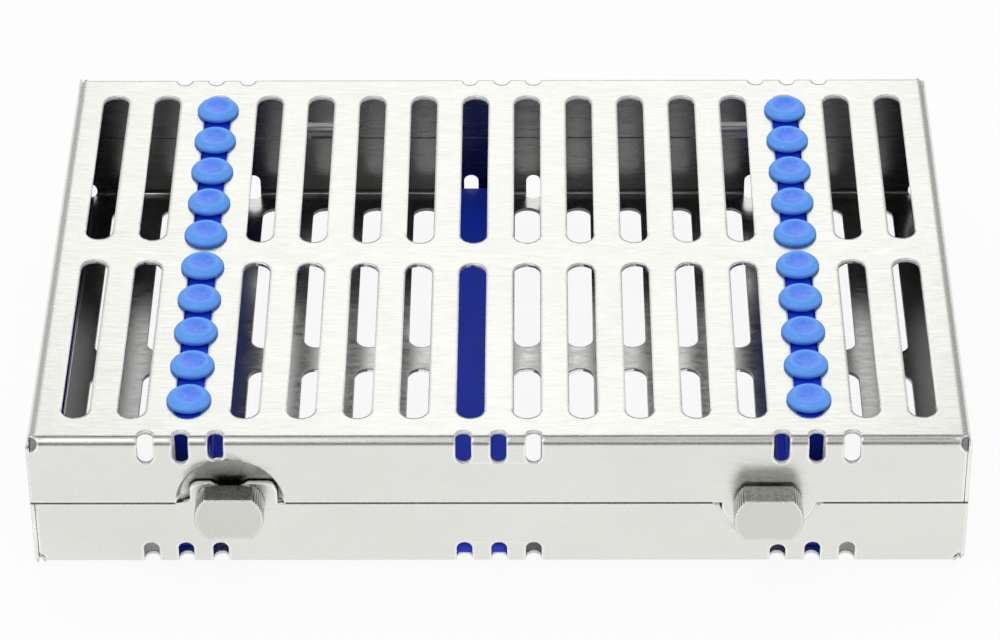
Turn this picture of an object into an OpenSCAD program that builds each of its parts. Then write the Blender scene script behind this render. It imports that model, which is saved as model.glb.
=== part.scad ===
// Folded steel instrument cassette with silicone rails, two back hinges and two quarter-turn knobs.
// Millimetres, +Z up, front towards -Y. Origin on the resting plane, under the middle of the case.

/* [Case] */
// Width of the case, left to right
case_l = 200; // [196:1:230]
// Depth of the case, front wall to back wall
case_d = 137; // [134:1:160]
// Height of one half, from its plate to the split
half_h = 17; // [16.5:0.5:24]
// Thickness of the steel sheet
sheet_t = 0.8; // [0.6:0.1:1]
// Outer radius of the folds
bend_r = 2.1; // [1.6:0.1:3]
// Gap between the edges of tray and lid, and at the corner seams
seam_gap = 0.2; // [0.1:0.05:0.4]
// Radius of the relief hole where two folds meet
relief_r = 1.5; // [1.3:0.05:1.8]
// Distance of that hole's axis from the side wall's outer face
relief_in = 0.95; // [0.9:0.05:1.4]
// Level at which the axis enters the front or back face, above the plate's outer face
relief_up = 0.7; // [0.5:0.1:1]

/* [Slots] */
// Number of slot columns across the plate
slot_columns = 16; // [12:1:16]
// Distance from a side wall to the middle of the nearest slot column
side_margin = 9.775; // [9:0.025:11]
// Width of a slot
slot_w = 6; // [5:0.25:6.5]
// Margin from the end of a slot to the wall
slot_margin = 8; // [7:0.5:8.5]
// Width of an edge notch
notch_w = 3.4; // [2.5:0.1:4]
// Distance between the notches of one group
notch_pitch = 7.45; // [6.5:0.05:8]
// Distance from the middle notch group to the outer ones
notch_group = 67.3; // [66:0.1:69]
// Height of a notch up the wall
notch_up = 6.1; // [5:0.1:7]
// How much lower the notch beside the lock's recess is
notch_short = 0.7; // [0.5:0.1:1.5]
// Depth of a notch into the plate
notch_in = 3.4; // [3:0.1:4]

/* [Silicone rails] */
// Column that carries the left rails, counted from the left
rail_column = 3; // [2:1:4]
// Column that carries the centre strip
centre_column = 8; // [7:1:9]
// Width of the base of the left and right tray rails
base_w = 10; // [7:0.5:12]
// Reach of that base past the ends of the slots
base_past = 3.5; // [1:0.5:4]
// Width of the centre strip
strip_w = 16; // [12:0.5:18]
// Gap between the centre strip's ends and the folds
strip_play = 0.1; // [0.05:0.05:0.5]
// Thickness of a rail's base
base_t = 2.75; // [2:0.05:3.5]
// Width of the bar that holds the instruments
bar_w = 6.2; // [6.1:0.1:8]
// Gap between a rail's bar and the level of the split
bar_gap = 1.5; // [1:0.25:3]
// Radius of an instrument notch
lane_r = 3.6; // [3:0.1:4]
// Depth of the instrument notches below the split
lane_drop = 8; // [7:0.5:10]
// Number of instruments and of studs on a rail
stud_count = 10; // [6:2:10]
// Distance between studs
stud_pitch = 12.1; // [11:0.05:12.2]
// Diameter of a stud's neck in the slot
neck_d = 3.8; // [3:0.1:4]
// Clearance of a neck at its slot's end
neck_play = 0.15; // [0.1:0.05:0.3]
// Diameter of a stud's head
head_d = 9.65; // [8:0.05:10.5]
// Height of a stud's head
head_h = 1.8; // [1.4:0.1:3]
// Width of the rounded edge of a stud's head
head_edge = 1.3; // [0.8:0.1:1.6]

/* [Locks] */
// Distance of each knob from the middle of the case
lock_x = 57.3; // [54:0.1:60]
// Radius of the half-round recess at the front face
recess_r = 11.6; // [10.5:0.1:12]
// Level of the tray recess's centre above the split
tray_recess_rise = 2; // [0:0.1:2.5]
// Level of the lid recess's centre above the split
lid_recess_rise = 0.3; // [0:0.1:0.8]
// Slope of the recess's pressed edge
recess_slope = 0.8; // [0.4:0.1:1.2]
// Height of the tab above the split
tab_h = 5.6; // [5:0.1:6.5]
// Reach of the tab away from the middle of the case
tab_out = 8.5; // [7.5:0.1:8.8]
// Reach of the tab towards the middle of the case
tab_in = 10.1; // [9:0.1:10.4]
// Reach of the lid's tab from its knob's axis towards the side
lid_tab_out = 11.2; // [10.4:0.1:11.3]
// Reach of the lid's tab from its knob's axis towards the middle
lid_tab_in = 9.7; // [9:0.1:10.4]
// Radius of the tab's corners
tab_corner = 2; // [1:0.1:2.4]
// Width of the small foot at the tab's outer side
foot_w = 2.2; // [1.8:0.1:2.6]
// Height of that foot
foot_h = 0.9; // [0.5:0.1:1.2]
// Gap between the tab and the edge of the recess
tab_gap = 1.1; // [0.8:0.1:1.5]
// Gap between the tab and the sheet behind it
plane_gap = 0.35; // [0.3:0.05:0.6]
// Reach of the tongue past the split
tongue_h = 5; // [4.6:0.1:6]
// Width of the tongue
tongue_w = 12; // [10:0.5:14]
// Radius of the tongue's corners
tongue_corner = 2; // [1.5:0.5:3]
// Width of the slot in the tab
throat_w = 4.8; // [4.6:0.05:5]
// Width of the slot's mouth
mouth_w = 8; // [7:0.1:9]
// Height of the sloping mouth
mouth_h = 1; // [0.8:0.1:1.5]

/* [Knobs] */
// Diameter of a knob's head
knob_d = 14.8; // [12:0.1:15]
// Width of the head across its flats
knob_flats = 10.4; // [9:0.1:11]
// Depth of the head
knob_t = 5.2; // [4:0.1:7]
// Chamfer around the head's face
knob_chamfer = 0.25; // [0.2:0.05:0.8]
// Width of a groove in the gripping sides
knurl_w = 0.4; // [0.3:0.05:0.5]
// Angle between grooves
knurl_step = 6; // [6:1:14]
// Angle that the grooves cover to each side of the split
knurl_span = 42; // [30:6:42]
// Diameter of the shaft
shaft_d = 4.2; // [3.8:0.1:4.2]
// Running clearance of the shaft in the tongue
shaft_play = 0.08; // [0.04:0.01:0.1]
// Gap behind the left head
knob_gap_left = 0.3; // [0.25:0.05:1]
// Gap behind the right head
knob_gap_right = 0.85; // [0.25:0.05:1]
// Diameter of washer and retaining ring
washer_d = 8.2; // [7:0.1:9]
// Thickness of the washer
washer_t = 0.4; // [0.3:0.1:0.6]
// Thickness of the retaining ring
clip_t = 0.6; // [0.5:0.1:0.8]
// Play of the retaining ring in its groove, and of the washer in front of it
clip_play = 0.1; // [0.06:0.01:0.2]
// Depth of the ring's groove
groove_depth = 0.5; // [0.3:0.05:0.6]
// Length of the shaft past its groove
shaft_end = 0.7; // [0.5:0.1:1.2]

/* [Hinges] */
// Distance of each hinge from the middle of the case
hinge_x = 48; // [44:0.5:52]
// Width of a hinge leaf
leaf_w = 24; // [20:1:28]
// Height of a hinge leaf's plate
leaf_h = 5.6; // [4:0.2:5.8]
// Thickness of a hinge leaf
leaf_t = 0.8; // [0.6:0.1:1]
// Outer radius of a knuckle
knuckle_r = 2.3; // [2.1:0.1:2.6]
// Diameter of the hinge pin
pin_d = 2; // [1.6:0.1:2.2]
// Running clearance of the pin in the knuckles
pin_play = 0.05; // [0.02:0.01:0.08]
// Diameter of the pin's heads
pin_head_d = 3; // [2.8:0.1:3.6]
// Thickness of the pin's heads
pin_head_t = 0.6; // [0.4:0.1:0.8]
// Gap between the pin's heads and the knuckles
pin_end_play = 0.1; // [0.05:0.05:0.3]
// Gap between a knuckle and the wall in front of it
knuckle_gap = 0.25; // [0.2:0.05:0.5]
// Gap between the two knuckles of a hinge
knuckle_split = 0.3; // [0.2:0.05:0.6]
// Height of the window that clears the other leaf's knuckle
window_h = 4.4; // [3.8:0.1:5]

/* [Hidden] */
$fn = 64;
eps = 0.01;
cut = 2;

front_y = -case_d / 2;
back_y = case_d / 2;
split_z = head_h + half_h;
wall_top = half_h - seam_gap / 2;
slot_far = case_d / 2 - slot_margin;
slot_near = stud_pitch / 2 - neck_d / 2 - neck_play;
slot_pitch = (case_l - 2 * side_margin) / (slot_columns - 1);
rail_x = ((slot_columns + 1) / 2 - rail_column) * slot_pitch;
centre_x = (centre_column - (slot_columns + 1) / 2) * slot_pitch;
base_l = 2 * (slot_far + base_past);
strip_l = case_d - 2 * (bend_r + strip_play);
bar_l = 2 * slot_far;
tongue_y = front_y + sheet_t + plane_gap;
recess_depth = sheet_t + plane_gap;
washer_y = tongue_y + sheet_t;
clip_y = washer_y + washer_t + clip_play;
groove_l = clip_t + clip_play;
groove_r = shaft_d / 2 - groove_depth;
ring_play = 0.04;
ear_r = 0.9;
ear_in = 0.7;
ear_drop = 0.2;
hinge_y = back_y + knuckle_gap + knuckle_r;
knuckle_l = (leaf_w - knuckle_split) / 2;
front_reach = case_d / 2 + max(knob_gap_left, knob_gap_right) + knob_t;
back_reach = hinge_y + knuckle_r;
middle_y = (front_reach - back_reach) / 2;
window_play = 0.4;
relief_bite = 0.05;

steel = [0.78, 0.78, 0.77];
steel_dark = [0.62, 0.62, 0.62];
blue = [0.1, 0.3, 0.85];

// A rod along Y from the given start
module rod_y(y, l, r)
  translate([0, y, 0])
    rotate([-90, 0, 0])
      cylinder(r = r, h = l);

// A rod along X, centred
module rod_x(l, r)
  rotate([0, 90, 0])
    cylinder(r = r, h = l, center = true);

// Folded half shell

// A fold along X from one end to the other; its outer corner lies at the given depth
module fold(from, to, d)
  translate([(from + to) / 2, -d / 2 + bend_r, bend_r])
    difference() {
      intersection() {
        rod_x(to - from, bend_r);
        translate([-(to - from) / 2, -bend_r, -bend_r])
          cube([to - from, bend_r, bend_r]);
      }
      rod_x(to - from + cut, bend_r - sheet_t);
    }

// A wall over the given width; it runs to the outer corner at its right end and stops at the seam at its left
module wall(l, d)
  translate([-l / 2 + sheet_t + seam_gap, -d / 2, bend_r])
    cube([l - sheet_t - seam_gap, sheet_t, wall_top - bend_r]);

// Front and back fold stop short of the corners; the side folds run as far as their walls
module folded_sheet() {
  flat_l = case_l - 2 * bend_r;
  flat_d = case_d - 2 * bend_r;
  translate([-flat_l / 2, -flat_d / 2, 0])
    cube([flat_l, flat_d, sheet_t]);
  for (side = [0, 180])
    rotate([0, 0, side]) {
      fold(-flat_l / 2, flat_l / 2, case_d);
      wall(case_l, case_d);
      rotate([0, 0, 90]) {
        fold(-case_d / 2 + sheet_t + seam_gap, case_d / 2, case_l);
        wall(case_d, case_l);
      }
    }
}

// Round-ended slots of one column
module slot_pair(x)
  for (row = [-1, 1])
    translate([x, row * (slot_near + slot_far) / 2, -cut]) {
      half = (slot_far - slot_near - slot_w) / 2;
      translate([-slot_w / 2, -half, 0])
        cube([slot_w, 2 * half, 2 * cut]);
      for (end = [-1, 1])
        translate([0, end * half, 0])
          cylinder(d = slot_w, h = 2 * cut);
    }

// A notch that runs over the fold from plate to wall
module edge_notch(x, up)
  translate([x, front_y, 0]) {
    translate([-notch_w / 2, -cut, -cut])
      cube([notch_w, cut + sheet_t + eps, cut + up - notch_w / 2]);
    translate([0, 0, up - notch_w / 2])
      rod_y(-cut, cut + sheet_t + eps, notch_w / 2);
    translate([-notch_w / 2, -cut, -cut])
      cube([notch_w, cut + notch_in - notch_w / 2, cut + bend_r]);
    translate([0, notch_in - notch_w / 2, -cut])
      cylinder(d = notch_w, h = cut + bend_r);
  }

// Three groups of three; the notch beside the recess stays clear of it
module edge_notches(short)
  for (group = [-1:1])
    for (k = [-1:1])
      edge_notch(group * notch_group + k * notch_pitch,
                 notch_up - (group == 1 && k == -1 ? short : 0));

// Slanting hole through the end of the front or back fold; the side wall beside it stays whole
module corner_relief()
  for (turn = [0, 180])
    rotate([0, 0, turn])
      intersection() {
        for (side = [-1, 1])
          translate([side * (case_l / 2 - relief_in), front_y, relief_up])
            rotate([-45, 0, 0])
              cylinder(r = relief_r, h = 2 * cut + bend_r, center = true);
        translate([-case_l / 2 + sheet_t - relief_bite, front_y - cut, -cut])
          cube([case_l - 2 * (sheet_t - relief_bite), 2 * cut + bend_r, 2 * cut + bend_r]);
      }

// Cone whose wide end lies in the front face; its middle lies past the split by the given amount
module recess_cone(r, depth, extra, past)
  translate([lock_x, front_y - extra, half_h + past])
    rotate([-90, 0, 0])
      cylinder(r1 = r + recess_slope * extra / recess_depth, r2 = r - recess_slope * depth / recess_depth,
               h = depth + extra);

// Pressed recess with the tongue that reaches past the split
module lock_recess(past)
  difference() {
    union() {
      intersection() {
        recess_cone(recess_r + sheet_t, recess_depth + sheet_t, 0, past);
        translate([lock_x - 2 * recess_r, front_y, wall_top - 3 * recess_r])
          cube([4 * recess_r, recess_depth + sheet_t, 3 * recess_r]);
      }
      translate([lock_x - tongue_w / 2, tongue_y, half_h - tongue_h])
        cube([tongue_w, sheet_t, 2 * tongue_h - tongue_corner]);
      translate([lock_x - tongue_w / 2 + tongue_corner, tongue_y, half_h])
        cube([tongue_w - 2 * tongue_corner, sheet_t, tongue_h]);
      for (side = [-1, 1])
        translate([lock_x + side * (tongue_w / 2 - tongue_corner), 0, half_h + tongue_h - tongue_corner])
          rod_y(tongue_y, sheet_t, tongue_corner);
    }
    recess_cone(recess_r, recess_depth, 1, past);
    translate([lock_x, 0, half_h])
      rod_y(tongue_y - cut, sheet_t + 2 * cut, shaft_d / 2 + shaft_play);
  }

// Flat outline of the tab, from its knob's axis; mate is the level of the facing recess's centre,
// out and inner are its reaches, and foot says whether a small foot stands beside it
module tab_outline(mate, out, inner, foot) {
  intersection() {
    translate([0, mate])
      circle(r = recess_r - tab_gap);
    union() {
      translate([-out, -1])
        square([out + inner, tab_h + 1 - tab_corner]);
      translate([tab_corner - out, 0])
        square([out + inner - 2 * tab_corner, tab_h]);
      for (corner = [tab_corner - out, inner - tab_corner])
        translate([corner, tab_h - tab_corner])
          circle(r = tab_corner);
    }
  }
  if (foot)
    polygon([[-out - foot_w, -seam_gap], [-out, foot_h], [-out, -seam_gap]]);
}

module tab_slot() {
  circle(d = throat_w);
  translate([-throat_w / 2, 0])
    square([throat_w, tab_h + cut]);
  polygon([
    [-throat_w / 2, tab_h - mouth_h], [throat_w / 2, tab_h - mouth_h],
    [mouth_w / 2, tab_h + eps], [-mouth_w / 2, tab_h + eps]
  ]);
}

// Extrudes a flat outline through the front wall at the tab's knob axis
module at_tab(from, l)
  translate([-lock_x, front_y + from + l, half_h])
    rotate([90, 0, 0])
      linear_extrude(height = l)
        children();

module hinge_windows()
  for (x = [-hinge_x, hinge_x])
    translate([x - leaf_w / 2 - window_play, back_y - 2 * cut, half_h - window_h])
      cube([leaf_w / 2 + window_play, 4 * cut, window_h + cut]);

// Both halves are this pressing; past is for its own recess, mate for the recess that its tab lies in,
// and out, inner and foot are for its tab
module half_shell(past, mate, out, inner, foot, windows)
  difference() {
    union() {
      difference() {
        union() {
          folded_sheet();
          at_tab(0, sheet_t)
            tab_outline(mate, out, inner, foot);
        }
        recess_cone(recess_r, recess_depth, 1, past);
        at_tab(-cut, sheet_t + 2 * cut)
          tab_slot();
      }
      lock_recess(past);
    }
    for (column = [1:slot_columns])
      slot_pair((column - (slot_columns + 1) / 2) * slot_pitch);
    edge_notches(notch_short);
    mirror([0, 1, 0])
      edge_notches(0);
    corner_relief();
    if (windows)
      hinge_windows();
  }

// Silicone rails, seen with their plate's outer face at zero

module stud() {
  translate([0, 0, -eps])
    cylinder(d = neck_d, h = sheet_t + 2 * eps, $fn = 32);
  rotate_extrude($fn = 40)
    polygon([
      [0, 0], [head_d / 2, 0], [head_d / 2, -0.25 * head_h], [head_d / 2 - 0.3 * head_edge, -0.65 * head_h],
      [head_d / 2 - 0.65 * head_edge, -0.9 * head_h], [head_d / 2 - head_edge, -head_h], [0, -head_h]
    ]);
}

module studs()
  for (k = [0:stud_count - 1])
    translate([0, (k - (stud_count - 1) / 2) * stud_pitch, 0])
      stud();

module base_strip(w, l)
  translate([-w / 2, -l / 2, sheet_t])
    cube([w, l, base_t]);

module bar()
  translate([-bar_w / 2, -bar_l / 2, sheet_t])
    cube([bar_w, bar_l, half_h - bar_gap - sheet_t]);

module lane_cut(y)
  translate([0, y, half_h - lane_drop + lane_r]) {
    rod_x(bar_w + cut, lane_r);
    translate([-bar_w / 2 - cut, -lane_r, 0])
      cube([bar_w + 2 * cut, 2 * lane_r, half_h]);
  }

module notched_rail() {
  studs();
  difference() {
    union() {
      base_strip(base_w, base_l);
      bar();
    }
    for (k = [0:stud_count - 1])
      lane_cut((k - (stud_count - 1) / 2) * stud_pitch);
  }
}

module centre_strip() {
  studs();
  base_strip(strip_w, strip_l);
}

module plain_rail() {
  studs();
  bar();
}

// Hinges; this leaf belongs to the tray, its knuckle lies at the right half of the leaf
module hinge_leaf(x)
  translate([x, 0, 0])
    difference() {
      union() {
        translate([-leaf_w / 2, back_y, split_z - window_h - window_play - leaf_h])
          cube([leaf_w, leaf_t, leaf_h]);
        translate([knuckle_split / 2, back_y, split_z - window_h - window_play - eps])
          cube([knuckle_l, leaf_t, window_h + window_play + eps]);
        translate([knuckle_split / 2 + knuckle_l / 2, hinge_y, split_z])
          rod_x(knuckle_l, knuckle_r);
      }
      translate([0, hinge_y, split_z])
        rod_x(leaf_w + cut, pin_d / 2 + pin_play);
    }

module hinge_pin(x)
  translate([x, hinge_y, split_z]) {
    rod_x(leaf_w + 2 * pin_end_play + pin_head_t, pin_d / 2);
    for (end = [-1, 1])
      translate([end * (leaf_w + 2 * pin_end_play + pin_head_t) / 2, 0, 0])
        rod_x(pin_head_t, pin_head_d / 2);
  }

// Knobs on the tray's side of the split, with the shaft's axis on the split

module knurls()
  for (side = [0, 180])
    for (a = [-knurl_span:knurl_step:knurl_span])
      rotate([0, side + a, 0])
        translate([knob_d / 2, 0, 0])
          rotate([0, 45, 0])
            cube([knurl_w, 4 * knob_t, knurl_w], center = true);

module knob(gap) {
  difference() {
    intersection() {
      union() {
        translate([0, front_y - gap - knob_t, 0])
          rotate([-90, 0, 0])
            cylinder(r1 = knob_d / 2 - knob_chamfer, r2 = knob_d / 2, h = knob_chamfer);
        rod_y(front_y - gap - knob_t + knob_chamfer, knob_t - knob_chamfer, knob_d / 2);
      }
      translate([-knob_d, front_y - gap - 2 * knob_t, -knob_flats / 2])
        cube([2 * knob_d, 2 * knob_t, knob_flats]);
    }
    translate([0, front_y, 0])
      knurls();
  }
  rod_y(front_y - gap - eps, clip_y - front_y + gap + eps, shaft_d / 2);
  rod_y(clip_y - eps, groove_l + 2 * eps, groove_r);
  rod_y(clip_y + groove_l, shaft_end, shaft_d / 2);
}

module washer()
  difference() {
    rod_y(washer_y, washer_t, washer_d / 2);
    rod_y(washer_y - cut, washer_t + 2 * cut, shaft_d / 2 + shaft_play);
  }

module retaining_ring()
  difference() {
    rod_y(clip_y + clip_play / 2, clip_t, washer_d / 2);
    rod_y(clip_y - cut, clip_t + 2 * cut, groove_r + ring_play);
    translate([-groove_r - ring_play, clip_y - cut, -washer_d])
      cube([2 * (groove_r + ring_play), clip_t + 2 * cut, washer_d]);
    for (side = [-1, 1])
      translate([side * (groove_r + ear_in), 0, -groove_r - ear_drop])
        rod_y(clip_y - cut, clip_t + 2 * cut, ear_r);
  }

// Moves a piece so that the whole box is centred on the origin, front to back
module centred()
  translate([0, middle_y, 0])
    children();

module on_tray()
  translate([0, middle_y, head_h])
    children();

// Turns a tray piece over into its place on the lid
module on_lid()
  translate([0, middle_y, head_h + 2 * half_h])
    rotate([0, 180, 0])
      children();

module at_lock(side)
  translate([side * lock_x, middle_y, split_z])
    children();

module tray_shell()
  color(steel)
    on_tray()
      half_shell(tray_recess_rise, lid_recess_rise, tab_out, tab_in, true, false);

module lid_shell()
  color(steel)
    on_lid()
      half_shell(-lid_recess_rise, -tray_recess_rise, lid_tab_out, lid_tab_in, false, true);

module tray_rail_left() color(blue) on_tray() translate([-rail_x, 0, 0]) notched_rail();
module tray_rail_right() color(blue) on_tray() translate([rail_x, 0, 0]) notched_rail();
module tray_rail_centre() color(blue) on_tray() translate([centre_x, 0, 0]) centre_strip();
module lid_rail_left() color(blue) on_lid() translate([rail_x, 0, 0]) plain_rail();
module lid_rail_right() color(blue) on_lid() translate([-rail_x, 0, 0]) plain_rail();

module tray_hinge_leaf_left() color(steel_dark) centred() hinge_leaf(-hinge_x);
module tray_hinge_leaf_right() color(steel_dark) centred() hinge_leaf(hinge_x);
module hinge_pin_left() color(steel_dark) centred() hinge_pin(-hinge_x);
module hinge_pin_right() color(steel_dark) centred() hinge_pin(hinge_x);

// The lid's leaves are the tray's, turned over about the split
module turned_over()
  translate([0, 0, 2 * split_z])
    rotate([0, 180, 0])
      children();

module lid_hinge_leaf_left() color(steel_dark) centred() turned_over() hinge_leaf(hinge_x);
module lid_hinge_leaf_right() color(steel_dark) centred() turned_over() hinge_leaf(-hinge_x);

module knob_left() color(steel_dark) at_lock(-1) knob(knob_gap_left);
module knob_right() color(steel_dark) at_lock(1) knob(knob_gap_right);
module knob_washer_left() color(steel_dark) at_lock(-1) washer();
module knob_washer_right() color(steel_dark) at_lock(1) washer();
module knob_clip_left() color(steel_dark) at_lock(-1) retaining_ring();
module knob_clip_right() color(steel_dark) at_lock(1) retaining_ring();

tray_shell();
tray_rail_left();
tray_rail_centre();
tray_rail_right();
tray_hinge_leaf_left();
tray_hinge_leaf_right();
hinge_pin_left();
hinge_pin_right();
lid_shell();
lid_rail_left();
lid_rail_right();
lid_hinge_leaf_left();
lid_hinge_leaf_right();
knob_left();
knob_washer_left();
knob_clip_left();
knob_right();
knob_washer_right();
knob_clip_right();
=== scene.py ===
from math import cos, pi, radians, sin

import bmesh
import bpy
from mathutils import Matrix, Vector


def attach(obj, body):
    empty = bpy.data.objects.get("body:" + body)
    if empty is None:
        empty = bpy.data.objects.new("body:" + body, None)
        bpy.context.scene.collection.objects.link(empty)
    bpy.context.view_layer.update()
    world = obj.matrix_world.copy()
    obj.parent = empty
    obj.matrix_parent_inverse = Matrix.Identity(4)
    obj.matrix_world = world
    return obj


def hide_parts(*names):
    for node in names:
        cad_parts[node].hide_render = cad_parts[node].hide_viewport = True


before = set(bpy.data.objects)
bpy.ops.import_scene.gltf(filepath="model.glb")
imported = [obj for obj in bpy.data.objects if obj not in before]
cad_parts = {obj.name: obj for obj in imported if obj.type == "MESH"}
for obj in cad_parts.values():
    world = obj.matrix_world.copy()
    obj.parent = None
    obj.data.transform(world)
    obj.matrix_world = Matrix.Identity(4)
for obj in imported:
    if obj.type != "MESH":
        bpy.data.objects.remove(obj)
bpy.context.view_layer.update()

# The case, in millimetres as in the part's source
MM = 0.001
FRONT_SHIFT = 0.6          # the case's middle lies this far behind the origin
FOOT = 1.8                 # height of a stud's head
SHEET = 0.8
HALF = 17.0
SPLIT = FOOT + HALF
LID_TOP = FOOT + 2 * HALF
CASE_L = 200.0
CASE_D = 137.0
FOLD = 2.1                 # outer radius of the folds
PLATE_X = CASE_L / 2 - FOLD  # the flat plate reaches this far to either side
PLATE_Y = CASE_D / 2 - FOLD  # and this far to the front and to the back

# Locks
LOCK_X = 57.3
KNOB_R = 7.4
RECESS_R = 11.6
RECESS_DEPTH = 2.4         # deeper than the recess, less deep than anything behind it

# Silicone rails
RAIL_X = 66.165
STRIP_X = -6.015
STUDS = 10
PITCH = 12.1
BAR_W = 6.2
BAR_L = 121.0
BAR_GAP = 1.5              # from a rail's bar to the split
BASE_T = 2.75
SIDE_BASE = (10.0, 128.0, 0.5)      # width, length and softened edge
CENTRE_BASE = (16.0, 132.6, 0.9)
NOTCH_R = 3.6
NOTCH_FLOOR = HALF - 8.0
NOTCH_ARC = 16             # parts of a notch's half circle

# Both plates are pressed in a little: depth in the middle, and how flat the middle is
LID_DISH = (1.4, 2)
TRAY_DISH = (2.3, 4)
GRID = 5.0                 # spacing of the cuts that let a plate bend


# Shader nodes

def feed(tree, socket, part):
    """Gives a socket a plain value, or links it to another node's output."""
    if isinstance(part, bpy.types.NodeSocket):
        tree.links.new(part, socket)
    else:
        socket.default_value = part


def add(tree, kind, parts=None, **settings):
    node = tree.nodes.new(kind)
    for key, value in settings.items():
        setattr(node, key, value)
    for key, part in (parts or {}).items():
        feed(tree, node.inputs[key], part)
    return node


def maths(tree, operation, *terms, clamp=False):
    """One sum; each term is a number or another node's output."""
    return add(tree, "ShaderNodeMath", dict(enumerate(terms)), operation=operation,
               use_clamp=clamp).outputs[0]


def ranged(tree, value, low, high, at_low, at_high, smooth=True):
    """Value between two limits, turned into a shade between two others."""
    return add(tree, "ShaderNodeMapRange",
               {"Value": value, "From Min": low, "From Max": high, "To Min": at_low,
                "To Max": at_high},
               interpolation_type="SMOOTHSTEP" if smooth else "LINEAR").outputs[0]


def noise(tree, place, scale, detail, roughness=0.5):
    return add(tree, "ShaderNodeTexNoise",
               {"Vector": place, "Scale": scale, "Detail": detail, "Roughness": roughness}
               ).outputs["Fac"]


def mix_colors(tree, share, first, second, way="MIX"):
    """Two colours mixed; each is a colour or another node's output."""
    node = add(tree, "ShaderNodeMix", {0: share}, data_type="RGBA", blend_type=way)
    for index, part in ((6, first), (7, second)):
        feed(tree, node.inputs[index], (*part, 1) if isinstance(part, tuple) else part)
    return node.outputs[2]


def place_on(tree):
    """A point's place on the object, in metres."""
    return add(tree, "ShaderNodeTexCoord").outputs["Object"]


def place_parts(tree):
    return add(tree, "ShaderNodeSeparateXYZ", {0: place_on(tree)}).outputs


def length_of(tree, across, along):
    arm = add(tree, "ShaderNodeCombineXYZ", {0: across, 1: along})
    return add(tree, "ShaderNodeVectorMath", {0: arm.outputs[0]}, operation="LENGTH"
               ).outputs["Value"]


# Shader node groups

def new_group(name, inputs, outputs):
    tree = bpy.data.node_groups.new(name, "ShaderNodeTree")
    for label, kind, value in inputs:
        tree.interface.new_socket(label, in_out="INPUT", socket_type=kind).default_value = value
    for label, kind in outputs:
        tree.interface.new_socket(label, in_out="OUTPUT", socket_type=kind)
    return tree, tree.nodes.new("NodeGroupInput"), tree.nodes.new("NodeGroupOutput")


def grain_group():
    """Fine rolled grain: long streaks along one axis, plus soft cloudy patches."""
    tree, gin, gout = new_group("sheet_grain", [
        ("Streak Scale", "NodeSocketVector", (120.0, 2600.0, 2600.0)),
        ("Patch Scale", "NodeSocketFloat", 45.0)],
        [("Streaks", "NodeSocketFloat"), ("Patches", "NodeSocketFloat")])
    place = place_on(tree)
    stretch = add(tree, "ShaderNodeVectorMath", {0: place, 1: gin.outputs["Streak Scale"]},
                  operation="MULTIPLY")
    streaks = noise(tree, stretch.outputs[0], 1.0, 3.0, 0.6)
    patches = noise(tree, place, gin.outputs["Patch Scale"], 4.0, 0.55)
    tree.links.new(streaks, gout.inputs["Streaks"])
    tree.links.new(patches, gout.inputs["Patches"])
    return tree


def edge_group():
    """Rounded normal of an edge, and a mask that is one along the sheet's edge, where a highlight
    is painted with some rubbed wear.
    """
    tree, gin, gout = new_group("edge_highlight_and_wear", [
        ("Radius", "NodeSocketFloat", 0.0004),
        ("From", "NodeSocketFloat", 0.003),
        ("To", "NodeSocketFloat", 0.03)],
        [("Edge", "NodeSocketFloat"), ("Normal", "NodeSocketVector")])
    rounded = add(tree, "ShaderNodeBevel", {"Radius": gin.outputs["Radius"]}, samples=8).outputs[0]
    flat = add(tree, "ShaderNodeNewGeometry").outputs["Normal"]
    along = add(tree, "ShaderNodeVectorMath", {0: rounded, 1: flat}, operation="DOT_PRODUCT")
    turned = maths(tree, "SUBTRACT", 1.0, along.outputs["Value"])
    mask = ranged(tree, turned, gin.outputs["From"], gin.outputs["To"], 0.0, 1.0)
    tree.links.new(mask, gout.inputs["Edge"])
    tree.links.new(rounded, gout.inputs["Normal"])
    return tree


def ring_group():
    """Fine turning marks around the axis of either knob, which lies on the split."""
    tree, gin, gout = new_group("turning_marks", [
        ("Axis Distance", "NodeSocketFloat", LOCK_X * MM),
        ("Axis Height", "NodeSocketFloat", SPLIT * MM),
        ("Ring Scale", "NodeSocketFloat", 2600.0)],
        [("Rings", "NodeSocketFloat"), ("Distance", "NodeSocketFloat")])
    x, _, z = place_parts(tree)
    across = maths(tree, "SUBTRACT", maths(tree, "ABSOLUTE", x), gin.outputs["Axis Distance"])
    above = maths(tree, "SUBTRACT", z, gin.outputs["Axis Height"])
    distance = length_of(tree, across, above)
    phase = maths(tree, "MULTIPLY", distance, gin.outputs["Ring Scale"])
    rings = add(tree, "ShaderNodeTexNoise", {"W": phase, "Scale": 1.0, "Detail": 2.0},
                noise_dimensions="1D")
    tree.links.new(rings.outputs["Fac"], gout.inputs["Rings"])
    tree.links.new(distance, gout.inputs["Distance"])
    return tree


GRAIN = grain_group()
EDGES = edge_group()
RINGS = ring_group()


# Painted shades: how much of a finish's own brightness is left at certain places

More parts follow.
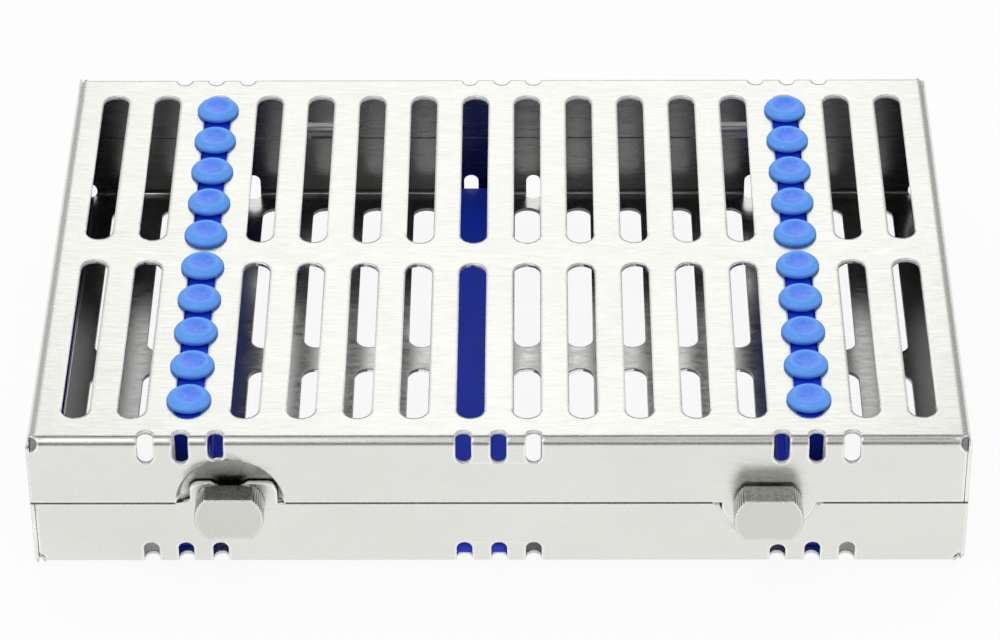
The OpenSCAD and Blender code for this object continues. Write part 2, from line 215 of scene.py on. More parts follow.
OPEN_SKY = (0.34, 0.62)    # share of the surroundings that a wall in a shut or an open case sees
SHUT_SHADE = 0.22
SEAM = (0.16, 0.38)        # from the split, in mm
SEAM_DARK = 0.85
SEAM_END = (11.5, 12.0)    # from a knob's axis, in mm
RECESS_MIDDLE = (4.5, 11.2)
RECESS_SHADES = (0.19, 0.72)
RECESS_ENDS = (7.0, 10.2)
GROOVE = (KNOB_R - 0.24, KNOB_R + 0.02)
GROOVE_DARK = 0.97
FACE_ON = (0.3, 0.6)       # part of the normal that points to the front: side, or turned face
FLAT_ON = (0.97, 0.985)    # part of the normal that points up or down: grooves, or milled flat
SCRATCHES = (0.36, 0.64)   # the noise of a milled flat runs between these
SCRATCH_SHADES = (0.66, 1.06)
HEAD_MIDDLE = (1.4, 3.9)   # from a stud's axis, in mm
HEAD_RIM = (4.55, 4.8)
HEAD_RIM_SHARE = 0.6
CLOUD = (0.3, 0.7)         # the noise in a stud's middle runs between these
CLOUD_SHADES = (0.55, 1.25)


def closed_shade(tree):
    """Painted shade from ambient occlusion: dark where the case is shut over the wall, lighter
    where the lid is open.
    """
    sky = add(tree, "ShaderNodeAmbientOcclusion", {"Distance": 0.1}, samples=6)
    return ranged(tree, sky.outputs["AO"], *OPEN_SKY, SHUT_SHADE, 1.0)


def near(tree, distance, limits, at_low, at_high):
    """A shade that goes by a distance between two limits in mm."""
    return ranged(tree, distance, limits[0] * MM, limits[1] * MM, at_low, at_high)


def lock_distance(tree):
    return add(tree, "ShaderNodeGroup", node_tree=RINGS).outputs["Distance"]


def seam_shade(tree):
    """Painted shade: a dark line along the split, for the shadow in the gap between the halves; it
    stops at the locks.
    """
    _, _, z = place_parts(tree)
    off = maths(tree, "ABSOLUTE", maths(tree, "SUBTRACT", z, SPLIT * MM))
    line = near(tree, off, SEAM, SEAM_DARK, 0.0)
    away = near(tree, lock_distance(tree), SEAM_END, 0.0, 1.0)
    return maths(tree, "SUBTRACT", 1.0, maths(tree, "MULTIPLY", line, away))


def recess_shade(tree):
    """Painted shade: the pressed recess darkens towards its knob, where knob and tab shade it, and
    stays bright at its two ends.
    """
    x, _, _ = place_parts(tree)
    off = maths(tree, "ABSOLUTE", maths(tree, "SUBTRACT", maths(tree, "ABSOLUTE", x), LOCK_X * MM))
    middle = near(tree, lock_distance(tree), RECESS_MIDDLE, *RECESS_SHADES)
    ends = near(tree, off, RECESS_ENDS, 0.0, 1.0)
    return maths(tree, "MAXIMUM", middle, ends)


def knob_shade(tree):
    """Painted shade in the grooves round the knob, and milled flats darker than its turned face."""
    place = add(tree, "ShaderNodeTexCoord")
    _, y, z = add(tree, "ShaderNodeSeparateXYZ", {0: place.outputs["Normal"]}).outputs
    side = ranged(tree, maths(tree, "ABSOLUTE", y), *FACE_ON, 1.0, 0.0)
    upward = maths(tree, "ABSOLUTE", z)
    curved = ranged(tree, upward, *FLAT_ON, 1.0, 0.0)
    # Painted shade at the bottom of each groove
    groove = near(tree, lock_distance(tree), GROOVE, GROOVE_DARK, 0.0)
    depth = maths(tree, "MULTIPLY", maths(tree, "MULTIPLY", side, curved), groove)
    scratches = noise(tree, place.outputs["Object"], 1400.0, 4.0, 0.7)
    mottled = ranged(tree, scratches, *SCRATCHES, *SCRATCH_SHADES)
    milled = add(tree, "ShaderNodeMix",
                 {0: ranged(tree, upward, *FLAT_ON, 0.0, 1.0), 2: 1.0, 3: mottled})
    return maths(tree, "MULTIPLY", maths(tree, "SUBTRACT", 1.0, depth), milled.outputs[0])


def stud_shade(tree):
    """Masks for painted shade: one in the shallow middle of each stud's head, and the share of the
    dark tone at its rim.
    """
    x, y, _ = place_parts(tree)
    across = maths(tree, "SUBTRACT", maths(tree, "ABSOLUTE", x), RAIL_X * MM)
    count = maths(tree, "DIVIDE", maths(tree, "SUBTRACT", y, FRONT_SHIFT * MM), PITCH * MM)
    part = maths(tree, "SUBTRACT", maths(tree, "FRACT", count), 0.5)
    along = maths(tree, "MULTIPLY", part, PITCH * MM)
    radius = length_of(tree, across, along)
    middle = near(tree, radius, HEAD_MIDDLE, 1.0, 0.0)
    return middle, near(tree, radius, HEAD_RIM, 0.0, HEAD_RIM_SHARE)


# Materials

def new_material(name):
    mat = bpy.data.materials.new(name)
    mat.use_nodes = True
    tree = mat.node_tree
    return mat, tree, tree.nodes["Principled BSDF"]


STEEL_RELIEF = 0.00002     # height of grain and turning marks, in metres
STEEL_GRAIN = (0.3, 0.7)   # the grain's noise runs between these
STEEL_GLOSS = (-0.05, 0.06)  # how far the grain takes the roughness down and up
SILICONE_RELIEF = 0.00003
SILICONE_GLOSS = (-0.05, 0.08)
HEAD_RIM_SHADE_TONE = (0.02, 0.10, 0.45)


def steel(name, color, rough, streaks, bump, edge, highlight_and_wear=0.95, turned=False, shade=None,
          metal=1.0):
    """Rolled or turned steel; its edges have the given radius in mm and get a painted highlight,
    with some rubbed wear, that bright.
    """
    mat, tree, shader = new_material(name)
    shader.inputs["Metallic"].default_value = metal
    grain = add(tree, "ShaderNodeGroup", node_tree=GRAIN)
    grain.inputs["Streak Scale"].default_value = streaks
    rim = add(tree, "ShaderNodeGroup", node_tree=EDGES)
    rim.inputs["Radius"].default_value = edge * MM
    tone = mix_colors(tree, grain.outputs["Patches"], tuple(c * 0.95 for c in color),
                      tuple(min(1, c * 1.05) for c in color))
    highlight_and_wear_share = rim.outputs["Edge"]
    if shade:
        left = shade(tree)
        tone = mix_colors(tree, 1.0, tone, left, way="MULTIPLY")
        highlight_and_wear_share = maths(tree, "MULTIPLY", highlight_and_wear_share, left)
    lines = grain.outputs["Streaks"]
    if turned:
        rings = add(tree, "ShaderNodeGroup", node_tree=RINGS).outputs["Rings"]
        lines = maths(tree, "MULTIPLY", maths(tree, "ADD", rings, lines), 0.5)
    # Painted highlight along the edges, partly rubbed wear
    bright = mix_colors(tree, highlight_and_wear_share, tone, (highlight_and_wear, highlight_and_wear, highlight_and_wear * 0.985))
    gloss = ranged(tree, lines, *STEEL_GRAIN, *(rough + way for way in STEEL_GLOSS), smooth=False)
    relief = add(tree, "ShaderNodeBump", {"Strength": bump, "Distance": STEEL_RELIEF,
                                          "Height": lines, "Normal": rim.outputs["Normal"]})
    tree.links.new(bright, shader.inputs["Base Color"])
    tree.links.new(gloss, shader.inputs["Roughness"])
    tree.links.new(relief.outputs[0], shader.inputs["Normal"])
    return mat


def silicone(name, color, deep, rough, head=False):
    """Softly mottled silicone; a stud's head gets painted shade, deeper toned in its middle and
    dark at its rim.
    """
    mat, tree, shader = new_material(name)
    shader.inputs["Specular IOR Level"].default_value = 0.45
    place = place_on(tree)
    mottle = noise(tree, place, 160.0, 3.0)
    if head:
        middle, rim = stud_shade(tree)
        cloud = ranged(tree, noise(tree, place, 900.0, 3.0), *CLOUD, *CLOUD_SHADES)
        share = maths(tree, "MULTIPLY", middle, cloud, clamp=True)
        # Painted shade in the head's middle and at its rim
        tone = mix_colors(tree, rim, mix_colors(tree, share, color, deep), HEAD_RIM_SHADE_TONE)
    else:
        tone = mix_colors(tree, mottle, deep, color)
    gloss = ranged(tree, mottle, 0.0, 1.0, *(rough + way for way in SILICONE_GLOSS), smooth=False)
    relief = add(tree, "ShaderNodeBump", {"Strength": 0.25, "Distance": SILICONE_RELIEF,
                                          "Height": noise(tree, place, 2500.0, 2.0)})
    tree.links.new(tone, shader.inputs["Base Color"])
    tree.links.new(gloss, shader.inputs["Roughness"])
    tree.links.new(relief.outputs[0], shader.inputs["Normal"])
    return mat


sheet_steel = steel(
    "sheet_steel", (0.79, 0.795, 0.755), rough=0.27, streaks=(170.0, 2600.0, 2600.0),
    bump=0.15, edge=0.95, highlight_and_wear=0.99, shade=seam_shade)
# Painted shade: the lid's recess is a darker, shaded copy of the sheet steel
shaded_recess_steel = steel(
    "shaded_recess_steel", (0.70, 0.70, 0.68), rough=0.27, streaks=(700.0, 2400.0, 700.0),
    bump=0.18, edge=0.6, highlight_and_wear=0.9, shade=recess_shade)
# Painted shade: the case's inside walls and floor are darker, shaded copies of the sheet steel
shaded_wall_inside = steel(
    "shaded_wall_inside", (0.54, 0.54, 0.53), rough=0.24, streaks=(90.0, 1500.0, 1500.0),
    bump=0.12, edge=0.2, highlight_and_wear=0.6, shade=closed_shade)
shaded_floor_inside = steel(
    "shaded_floor_inside", (0.60, 0.60, 0.585), rough=0.21, streaks=(300.0, 900.0, 900.0),
    bump=0.07, edge=0.3, highlight_and_wear=0.9)
turned_steel = steel(
    "turned_steel", (0.67, 0.675, 0.63), rough=0.30, streaks=(2200.0, 900.0, 2200.0),
    bump=0.4, edge=0.62, highlight_and_wear=0.97, turned=True, shade=knob_shade)
# Cut faces: rough, and painted brighter than the sheet as a highlight
lit_punched_edge = steel(
    "lit_punched_edge", (0.86, 0.86, 0.84), rough=0.48, streaks=(2400.0, 2400.0, 300.0),
    bump=0.4, edge=0.5, highlight_and_wear=0.97, metal=0.35)
small_steel = steel(
    "small_steel", (0.62, 0.62, 0.61), rough=0.32, streaks=(400.0, 1400.0, 1400.0),
    bump=0.3, edge=0.12)
# One silicone in two copies: the heads painted lighter as lit, the bars darker as shaded
lit_head_silicone = silicone(
    "lit_head_silicone", (0.115, 0.37, 1.0), (0.08, 0.225, 0.97), rough=0.25, head=True)
shaded_bar_silicone = silicone("shaded_bar_silicone", (0.008, 0.055, 0.85), (0.005, 0.04, 0.70), rough=0.5)


# CAD nodes that keep their shape

def finish_nodes(words, mat):
    """Gives every CAD node with one of the words in its name the same finish."""
    for name in [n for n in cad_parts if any(word in n for word in words)]:
        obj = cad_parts[name]
        for index in range(len(obj.material_slots)):
            obj.material_slots[index].material = mat
        if not obj.material_slots:
            obj.data.materials.append(mat)


finish_nodes(("hinge", "washer", "clip"), small_steel)


# Meshes

def mesh_object(name, bm):
    mesh = bpy.data.meshes.new(name)
    bm.to_mesh(mesh)
    bm.free()
    obj = bpy.data.objects.new(name, mesh)
    bpy.context.scene.collection.objects.link(obj)
    return obj


def apply_modifiers(obj):
    graph = bpy.context.evaluated_depsgraph_get()
    mesh = bpy.data.meshes.new_from_object(obj.evaluated_get(graph))
    obj.modifiers.clear()
    old = obj.data
    obj.data = mesh
    bpy.data.meshes.remove(old)


def merged_copy(node):
    """A CAD node's triangles, joined at their corners."""
    bm = bmesh.new()
    bm.from_mesh(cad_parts[node].data)
    bmesh.ops.remove_doubles(bm, verts=bm.verts, dist=1e-6)
    return bm


def pressed_in(x, y, dish):
    """How far a plate lies inwards of its flat at a place, in mm; none at the folds."""
    depth, power = dish
    u = min(1.0, abs(x) / PLATE_X)
    v = min(1.0, abs(y - FRONT_SHIFT) / PLATE_Y)
    return depth * (1 - u ** power) * (1 - v ** power)


def cut_grid(bm, faces, axis, places):
    """Cuts the given faces at the given places along an axis, all in mm."""
    normal = Vector((axis == 0, axis == 1, 0))
    for place_mm in places:
        faces = [f for f in faces if f.is_valid]
        edges = list({e for f in faces for e in f.edges})
        verts = list({v for f in faces for v in f.verts})
        made = bmesh.ops.bisect_plane(bm, geom=edges + verts + faces, dist=1e-7,
                                      plane_co=normal * place_mm * MM, plane_no=normal)
        faces += [g for g in made["geom"] if isinstance(g, bmesh.types.BMFace)]
        faces = list(set(faces))


def steps(reach, step):
    """Places from -reach to reach, one step apart, through zero."""
    count = int(reach / step)
    return [k * step for k in range(-count, count + 1)]


def even_normals(obj, angle=30.0):
    for f in obj.data.polygons:
        f.use_smooth = True
    obj.data.set_sharp_from_angle(angle=radians(angle))
    even = obj.modifiers.new("even_normals", "WEIGHTED_NORMAL")
    even.keep_sharp = True
    apply_modifiers(obj)


def plate_up(x, y, dish, on_lid):
    """Upward normal of a pressed plate at a place in mm."""
    reach = 0.05
    slope_x = (pressed_in(x + reach, y, dish) - pressed_in(x - reach, y, dish)) / (2 * reach)
    slope_y = (pressed_in(x, y + reach, dish) - pressed_in(x, y - reach, dish)) / (2 * reach)
    way = 1 if on_lid else -1
    return Vector((way * slope_x, way * slope_y, 1)).normalized()


def smooth_plate(obj, level, on_lid):
    """Gives the plate's faces the pressed surface's exact normals, so thin triangles don't show."""
    mesh = obj.data
    dish = LID_DISH if on_lid else TRAY_DISH
    normals = [corner.vector.copy() for corner in mesh.corner_normals]
    for face in mesh.polygons:
        x, y, z = face.center / MM
        inside = abs(x) < PLATE_X and abs(y - FRONT_SHIFT) < PLATE_Y
        if inside and abs(face.normal.z) > 0.99 and abs(z - level) < SHEET + dish[0]:
            for loop in face.loop_indices:
                co = mesh.vertices[mesh.loops[loop].vertex_index].co / MM
                up = plate_up(co.x, co.y, dish, on_lid)
                normals[loop] = up if face.normal.z > 0 else -up
    mesh.normals_split_custom_set(normals)


# The two folded halves, as the solids are, with their plates pressed in

OUTSIDE, WALL, FLOOR, RECESS, PUNCHED = range(5)
SHELL_FINISHES = (sheet_steel, shaded_wall_inside, shaded_floor_inside, shaded_recess_steel, lit_punched_edge)
HAIR = 0.05                # what a face's middle may be off, in mm
CUT_MARGIN = 0.3           # a punched face's middle keeps this off the split and the plate, in mm
ACROSS = 0.3               # a punched face's normal has less than this along the sheet's own
INNER = 0.65               # inner faces lie more than this under the case's outside, in mm


def is_cut(face):
    """True for the narrow faces that a punch leaves all round a slot or notch."""
    centre = face.calc_center_median() / MM - Vector((0, FRONT_SHIFT, SPLIT))
    x, y, z = (abs(value) for value in centre)
    nx, ny, nz = (abs(value) for value in face.normal)
    mid_wall = CUT_MARGIN < z < HALF - CUT_MARGIN
    in_plate = z > HALF - SHEET - HAIR and x < PLATE_X and y < PLATE_Y
    in_front = y > CASE_D / 2 - SHEET - HAIR and x < PLATE_X and mid_wall
    in_side = x > CASE_L / 2 - SHEET - HAIR and y < PLATE_Y and mid_wall
    return (in_plate and nz < ACROSS) or (in_front and ny < ACROSS) or (in_side and nx < ACROSS)


def half_finish(face, on_lid):
    """Which of a shell's finishes a face gets; the shaded steels, as painted shade, go to the
    inside, to both recess planes and to recess slopes that face down.
    """
    spot = face.calc_center_median() / MM - Vector((0, FRONT_SHIFT - CASE_D / 2, SPLIT))
    near_lock = abs(abs(spot.x) - LOCK_X) < RECESS_R + 1 and abs(spot.z) < RECESS_R + 2
    if near_lock and face.normal.y < -0.05 and HAIR < spot.y < RECESS_DEPTH:
        # Painted shade: recess planes and the slopes that face down take shaded steel
        if face.normal.y < -0.95:
            return RECESS if on_lid else WALL
        return WALL if face.normal.z < -0.1 else OUTSIDE
    if is_cut(face):
        return PUNCHED
    centre = face.calc_center_median()
    away = centre - Vector((0, FRONT_SHIFT, SPLIT)) * MM
    inside = (abs(away.x) < (CASE_L / 2 - INNER) * MM and abs(away.y) < (CASE_D / 2 - INNER) * MM
              and abs(away.z) < (HALF - INNER) * MM and face.normal.dot(away) < 0)
    if not inside:
        return OUTSIDE
    return FLOOR if face.normal.z > 0.7 and centre.z < SPLIT * MM else WALL


def pressed_shell(node, body, on_lid):
    bm = merged_copy(node)
    level = (LID_TOP - SHEET / 2) * MM if on_lid else (FOOT + SHEET / 2) * MM

    def on_plate(vert):
        return abs(vert.co.z - level) < (SHEET / 2 + 0.01) * MM

    for axis, reach in ((0, PLATE_X), (1, PLATE_Y)):
        plate = [f for f in bm.faces if all(on_plate(v) for v in f.verts)]
        cut_grid(bm, plate, axis, steps(reach, GRID))
    bmesh.ops.triangulate(bm, faces=[f for f in bm.faces if len(f.verts) > 3])
    for vert in bm.verts:
        if on_plate(vert):
            sink = pressed_in(vert.co.x / MM, vert.co.y / MM, LID_DISH if on_lid else TRAY_DISH)
            vert.co.z += (-sink if on_lid else sink) * MM
    bm.normal_update()
    for f in bm.faces:
        f.material_index = half_finish(f, on_lid)
    obj = mesh_object("dressed_" + node, bm)
    for mat in SHELL_FINISHES:
        obj.data.materials.append(mat)
    even_normals(obj)
    smooth_plate(obj, level / MM, on_lid)
    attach(obj, body)
    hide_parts(node)


pressed_shell("tray_shell", "tray", False)
pressed_shell("lid_shell", "lid", True)


def dressed_knob(node, body):
    """The knob as the solid is, with even normals on its milled flats and grooves."""
    bm = merged_copy(node)
    bm.normal_update()
    obj = mesh_object("dressed_" + node, bm)
    obj.data.materials.clear()
    obj.data.materials.append(turned_steel)
    for face in obj.data.polygons:
        face.material_index = 0
    even_normals(obj, 20.0)
    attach(obj, body)
    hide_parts(node)


dressed_knob("knob_left", "left_knob")
dressed_knob("knob_right", "right_knob")


# Silicone pieces

def row_tree():
    """Repeats the object's own mesh along Y, joins what touches and gives it its material."""
    tree = bpy.data.node_groups.new("row_along_rail", "GeometryNodeTree")
    for label, kind, value in (("Geometry", "NodeSocketGeometry", None),
                               ("Count", "NodeSocketInt", STUDS),
                               ("Pitch", "NodeSocketFloat", PITCH * MM),
                               ("Weld", "NodeSocketFloat", 0.000001),
                               ("Finish", "NodeSocketMaterial", None)):
        socket = tree.interface.new_socket(label, in_out="INPUT", socket_type=kind)
        if value is not None:
            socket.default_value = value
    tree.interface.new_socket("Geometry", in_out="OUTPUT", socket_type="NodeSocketGeometry")
    gin = tree.nodes.new("NodeGroupInput").outputs
    gout = tree.nodes.new("NodeGroupOutput")
    gaps = maths(tree, "SUBTRACT", gin["Count"], 1.0)
    start = maths(tree, "MULTIPLY", maths(tree, "MULTIPLY", gaps, gin["Pitch"]), -0.5)
    first = add(tree, "ShaderNodeCombineXYZ", {"Y": start})
    step = add(tree, "ShaderNodeCombineXYZ", {"Y": gin["Pitch"]})
    line = add(tree, "GeometryNodeMeshLine", {
        "Count": gin["Count"], "Start Location": first.outputs[0], "Offset": step.outputs[0]})
    copies = add(tree, "GeometryNodeInstanceOnPoints", {
        "Points": line.outputs[0], "Instance": gin["Geometry"]})
    real = add(tree, "GeometryNodeRealizeInstances", {0: copies.outputs[0]})
    weld = add(tree, "GeometryNodeMergeByDistance", {
        "Geometry": real.outputs[0], "Distance": gin["Weld"]})
    paint = add(tree, "GeometryNodeSetMaterial", {
        "Geometry": weld.outputs[0], "Material": gin["Finish"]})
    tree.links.new(paint.outputs[0], gout.inputs[0])
    return tree


ROW = row_tree()


def set_inputs(modifier, values):
    for item in modifier.node_group.interface.items_tree:
        if item.item_type == "SOCKET" and item.in_out == "INPUT" and item.name in values:
            modifier[item.identifier] = values[item.name]


# Stud's outline from the neck out over the rim to the shallow dish, radius and depth in mm
STUD_OUTLINE = [
    (1.9, 0.8), (1.9, 0.12), (2.05, 0.02), (4.6, 0.02), (4.76, -0.1), (4.825, -0.3), (4.8, -0.52),
    (4.65, -0.85), (4.37, -1.2), (4.02, -1.5), (3.68, -1.7), (3.42, -1.78), (3.15, -1.8),
    (2.9, -1.78), (2.5, -1.7), (2.0, -1.6), (1.4, -1.5), (0.8, -1.44), (0.35, -1.42)]
STUD_MIDDLE = -1.415


def stud(name, segments=48):
    bm = bmesh.new()
    turns = [2 * pi * k / segments for k in range(segments)]
    rings = [[bm.verts.new((r * MM * cos(turn), r * MM * sin(turn), z * MM)) for turn in turns]
             for r, z in STUD_OUTLINE]
    tip = bm.verts.new((0, 0, STUD_MIDDLE * MM))
    base = bm.verts.new((0, 0, STUD_OUTLINE[0][1] * MM))
    for k in range(segments):
        beside = (k + 1) % segments
        for a, b in zip(rings, rings[1:]):
            bm.faces.new((a[k], a[beside], b[beside], b[k]))
        bm.faces.new((rings[-1][k], rings[-1][beside], tip))
        bm.faces.new((rings[0][beside], rings[0][k], base))
    bmesh.ops.recalc_face_normals(bm, faces=bm.faces)
    for f in bm.faces:
        f.smooth = True
    return mesh_object(name, bm)


def stud_row(name):
    obj = stud(name)
    modifier = obj.modifiers.new("row", "NODES")
    modifier.node_group = ROW
    set_inputs(modifier, {"Finish": lit_head_silicone})
    apply_modifiers(obj)
    return obj


def prism(outline, width):
    """A closed slab: the outline in Y and Z, from -width/2 to width/2 along X."""
    bm = bmesh.new()
    left = [bm.verts.new((-width / 2 * MM, y * MM, z * MM)) for y, z in outline]
    right = [bm.verts.new((width / 2 * MM, y * MM, z * MM)) for y, z in outline]
    bm.faces.new(left)
    bm.faces.new(list(reversed(right)))
    count = len(outline)
    for k in range(count):
        bm.faces.new((left[k], right[k], right[(k + 1) % count], left[(k + 1) % count]))
    bmesh.ops.recalc_face_normals(bm, faces=bm.faces)
    return bm


def soften(obj, width, segments=3):
    bevel = obj.modifiers.new("soft_edges", "BEVEL")
    bevel.width = width * MM
    bevel.segments = segments
    bevel.limit_method = "ANGLE"
    bevel.angle_limit = radians(40)
    apply_modifiers(obj)
    for f in obj.data.polygons:
        f.use_smooth = True
    obj.data.set_sharp_from_angle(angle=radians(38))


def moulded(name, bm, edge):
    obj = mesh_object(name, bm)
    obj.data.materials.append(shaded_bar_silicone)
    soften(obj, edge)
    return obj


def slab(name, width, length, low, high, edge):
    end = length / 2
    bm = prism([(-end, low), (end, low), (end, high), (-end, high)], width)
    cut_grid(bm, list(bm.faces), 1, steps(end - 1, GRID))
    return moulded(name, bm, edge)


def notched_bar(name, top):
    """A side rail's bar on the tray, with one round notch for each instrument."""
    start = -(STUDS - 1) / 2 * PITCH
    ends = (start - PITCH / 2, start + (STUDS - 1) * PITCH + PITCH / 2)
    z = NOTCH_FLOOR + NOTCH_R
    outline = [(ends[0], top)]
    for k in range(STUDS):
        y = start + k * PITCH
        outline.append((y - NOTCH_R, top))
        outline += [(y - NOTCH_R * cos(pi * j / NOTCH_ARC), z - NOTCH_R * sin(pi * j / NOTCH_ARC))
                    for j in range(NOTCH_ARC + 1)]
        outline.append((y + NOTCH_R, top))
    outline += [(ends[1], top), (ends[1], SHEET), (ends[0], SHEET)]
    bm = prism(outline, BAR_W)
    cut_grid(bm, list(bm.faces), 1, [start + (k + 0.5) * PITCH for k in range(STUDS - 1)])
    return moulded(name, bm, 0.35)


def join(name, parts):
    bm = bmesh.new()
    mats = []
    for part in parts:
        offset = len(mats)
        mats += list(part.data.materials)
        start = len(bm.faces)
        bm.from_mesh(part.data)
        bm.faces.ensure_lookup_table()
        for f in bm.faces[start:]:
            f.material_index += offset
    obj = mesh_object(name, bm)
    for mat in mats:
        obj.data.materials.append(mat)
    for part in parts:
        mesh = part.data
        bpy.data.objects.remove(part)
        bpy.data.meshes.remove(mesh)
    return obj


def follow_plate(co, on_lid):
    """Moves a point of a rail with its plate; the bars' ends at the split and the feet stay put."""
    z = co.z / MM
    bar_end = SPLIT + BAR_GAP if on_lid else SPLIT - BAR_GAP
    if on_lid:
        share = (z - bar_end) / (LID_TOP - SHEET - bar_end)
    elif z < FOOT:
        share = z / FOOT
    else:
        bar_foot = FOOT + SHEET + BASE_T
        share = 1 - (z - bar_foot) / (bar_end - bar_foot)
    dish = LID_DISH if on_lid else TRAY_DISH
    sink = pressed_in(co.x / MM, co.y / MM, dish) * max(0.0, min(1.0, share))
    co.z += (-sink if on_lid else sink) * MM


def place_rail(obj, x, on_lid):
    turn = Matrix.Translation((x * MM, FRONT_SHIFT * MM, (LID_TOP if on_lid else FOOT) * MM))
    if on_lid:
        turn = turn @ Matrix.Rotation(pi, 4, "Y")
    obj.data.transform(turn)
    for vert in obj.data.vertices:
        follow_plate(vert.co, on_lid)
    obj.data.update()


def rail(name, x, on_lid, base, bar, body):
    parts = [stud_row(name + "_studs")]
    top = HALF - BAR_GAP
    if base:
        width, length, edge = base
        parts.append(slab(name + "_base", width, length, SHEET, SHEET + BASE_T, edge))
    if bar == "notched":
        parts.append(notched_bar(name + "_bar", top))
    if bar == "plain":
        parts.append(slab(name + "_bar", BAR_W, BAR_L, SHEET, top, 0.5))
    obj = join("dressed_" + name, parts)
    place_rail(obj, x, on_lid)
    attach(obj, body)
    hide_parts(name)


rail("tray_rail_left", -RAIL_X, False, SIDE_BASE, "notched", "tray")
rail("tray_rail_right", RAIL_X, False, SIDE_BASE, "notched", "tray")
rail("tray_rail_centre", STRIP_X, False, CENTRE_BASE, None, "tray")
rail("lid_rail_left", -RAIL_X, True, None, "plain", "lid")
rail("lid_rail_right", RAIL_X, True, None, "plain", "lid")


# Floor, world, lamps and camera; places in metres, angles in degrees

FLOOR_SIZE = 6.0
FLOOR_DROP = 0.0001        # keeps the floor clear of the feet
FLOOR_WHITE = 0.9          # how far the floor's own shading gives way to plain white
ROOM_LIGHT = 0.85
CARD_HALF = 3.0            # the dark cards reach this far to the right, and most to the left
SIDE_REACH = 2.0
SIDE_CORNERS = ((13, 1), (62, 1), (62, 38), (13, 38))    # azimuth and elevation

# Name, lower and upper edge above the back horizon, distance, tone and left end
DARK_CARDS = (("back_flag", 1.0, 14.0, 2.5, 0.25, -CARD_HALF),
              ("top_flag", 50.0, 78.0, 2.0, 0.12, -CARD_HALF),
              ("front_flag", 139.0, 171.0, 2.2, 0.2, -CARD_HALF),
              ("overhead_flag", 88.0, 128.0, 2.1, 0.5, -0.12))

# Name, place, size and watts
LAMPS = (("softbox_back", (0.0, 1.6, 1.2), 1.6, 2.2),
         ("softbox_left", (-0.33, -0.49, 1.2), 0.22, 0.8))
LAMP_AIM = (0, 0, 0.02)

# The camera that fits the photograph
CAMERA_ELEVATION = 37.276
CAMERA_AZIMUTH = 0.559
CAMERA_ROLL = -0.417
CAMERA_DISTANCE = 971.17   # from its target, in mm
CAMERA_TARGET = (-0.137, FRONT_SHIFT, 13.909 + FOOT)
FOCAL_PIXELS = 4290.87
PICTURE_WIDTH = 1000.0
SENSOR = 36.0


def seen_directly(tree):
    """One for camera, glossy and transmission rays, which all meet the plain white background."""
    light = add(tree, "ShaderNodeLightPath").outputs
    seen = maths(tree, "MAXIMUM", light["Is Camera Ray"], light["Is Transmission Ray"])
    return maths(tree, "MAXIMUM", seen, light["Is Glossy Ray"])


def pale_floor():
    bm = bmesh.new()
    bmesh.ops.create_grid(bm, x_segments=1, y_segments=1, size=FLOOR_SIZE)
    floor = mesh_object("floor", bm)
    floor.data.transform(Matrix.Translation((0, 0, -FLOOR_DROP)))
    mat, tree, shader = new_material("pale_floor")
    shader.inputs["Base Color"].default_value = (0.97, 0.97, 0.97, 1)
    shader.inputs["Roughness"].default_value = 0.9
    shader.inputs["Specular IOR Level"].default_value = 0.1
    white = add(tree, "ShaderNodeEmission", {"Color": (1, 1, 1, 1), "Strength": 1.0})
    share = maths(tree, "MULTIPLY", seen_directly(tree), FLOOR_WHITE)
    blend = add(tree, "ShaderNodeMixShader", {0: share, 1: shader.outputs[0], 2: white.outputs[0]})
    tree.links.new(blend.outputs[0], tree.nodes["Material Output"].inputs["Surface"])
    floor.data.materials.append(mat)


def card(name, corners, tone):
    """A card for contrast in the steel; reflections see it, the camera and the lamps don't."""
    bm = bmesh.new()
    bm.faces.new([bm.verts.new(corner) for corner in corners])
    obj = mesh_object(name, bm)
    mat, _, shader = new_material(name + "_cloth")
    shader.inputs["Base Color"].default_value = (tone, tone, tone, 1)
    shader.inputs["Roughness"].default_value = 1.0
    obj.data.materials.append(mat)
    obj.visible_camera = False
    obj.visible_diffuse = False
    obj.visible_shadow = False


def dark_card(name, low, high, reach, tone, left):
    """A card that runs straight along X, with its lower and upper edge at the given angles."""
    edges = ((left, low), (CARD_HALF, low), (CARD_HALF, high), (left, high))
    card(name, [(x, reach * cos(radians(angle)), reach * sin(radians(angle)))
                for x, angle in edges], tone)


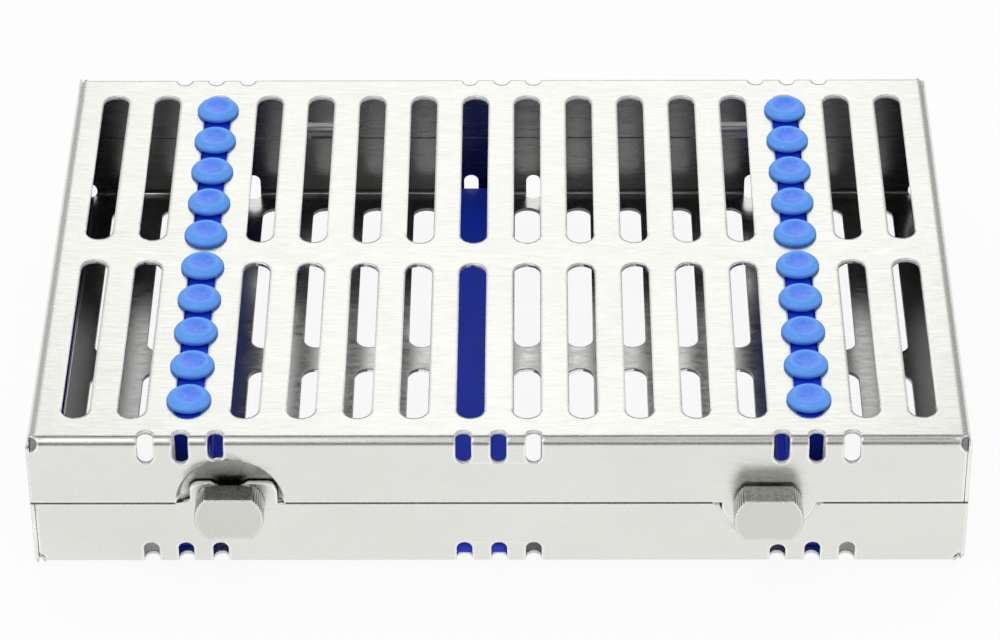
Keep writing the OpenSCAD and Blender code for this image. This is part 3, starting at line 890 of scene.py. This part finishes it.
def side_card(name, side, tone):
    """A grey card behind the case on one side, which only the rounded side folds reflect."""
    corners = []
    for azimuth, elevation in SIDE_CORNERS:
        flat = SIDE_REACH * cos(radians(elevation))
        corners.append((side * flat * sin(radians(azimuth)), flat * cos(radians(azimuth)),
                        SIDE_REACH * sin(radians(elevation))))
    card(name, corners, tone)


def white_room():
    world = bpy.data.worlds.new("studio")
    bpy.context.scene.world = world
    world.use_nodes = True
    tree = world.node_tree
    sky = tree.nodes["Background"]
    sky.inputs["Color"].default_value = (1, 1, 1, 1)
    power = ranged(tree, seen_directly(tree), 0.0, 1.0, ROOM_LIGHT, 1.0, smooth=False)
    tree.links.new(power, sky.inputs["Strength"])


def soft_lamp(name, spot, size, watts):
    lamp = bpy.data.lights.new(name, "AREA")
    lamp.shape = "DISK"
    lamp.size = size
    lamp.energy = watts
    obj = bpy.data.objects.new(name, lamp)
    bpy.context.scene.collection.objects.link(obj)
    obj.location = spot
    obj.rotation_euler = (Vector(LAMP_AIM) - Vector(spot)).to_track_quat("-Z", "Y").to_euler()


def photo_camera():
    elevation, azimuth = radians(CAMERA_ELEVATION), radians(CAMERA_AZIMUTH)
    roll = radians(CAMERA_ROLL)
    back = Vector((sin(azimuth) * cos(elevation), -cos(azimuth) * cos(elevation), sin(elevation)))
    side = Vector((0, 0, 1)).cross(back).normalized()
    up = back.cross(side)
    right = cos(roll) * side + sin(roll) * up
    upward = -sin(roll) * side + cos(roll) * up
    data = bpy.data.cameras.new("photo_camera")
    data.sensor_width = SENSOR
    data.lens = FOCAL_PIXELS * SENSOR / PICTURE_WIDTH
    data.clip_start = 0.05
    data.clip_end = 50.0
    camera = bpy.data.objects.new("photo_camera", data)
    bpy.context.scene.collection.objects.link(camera)
    turn = Matrix((right, upward, back)).transposed().to_4x4()
    turn.translation = Vector(CAMERA_TARGET) * MM + back * CAMERA_DISTANCE * MM
    camera.matrix_world = turn
    bpy.context.scene.camera = camera


pale_floor()
side_card("left_flag", -1, 0.6)
side_card("right_flag", 1, 0.5)
for flag in DARK_CARDS:
    dark_card(*flag)
white_room()
for lamp in LAMPS:
    soft_lamp(*lamp)
photo_camera()
bpy.context.scene.view_settings.view_transform = "Standard"
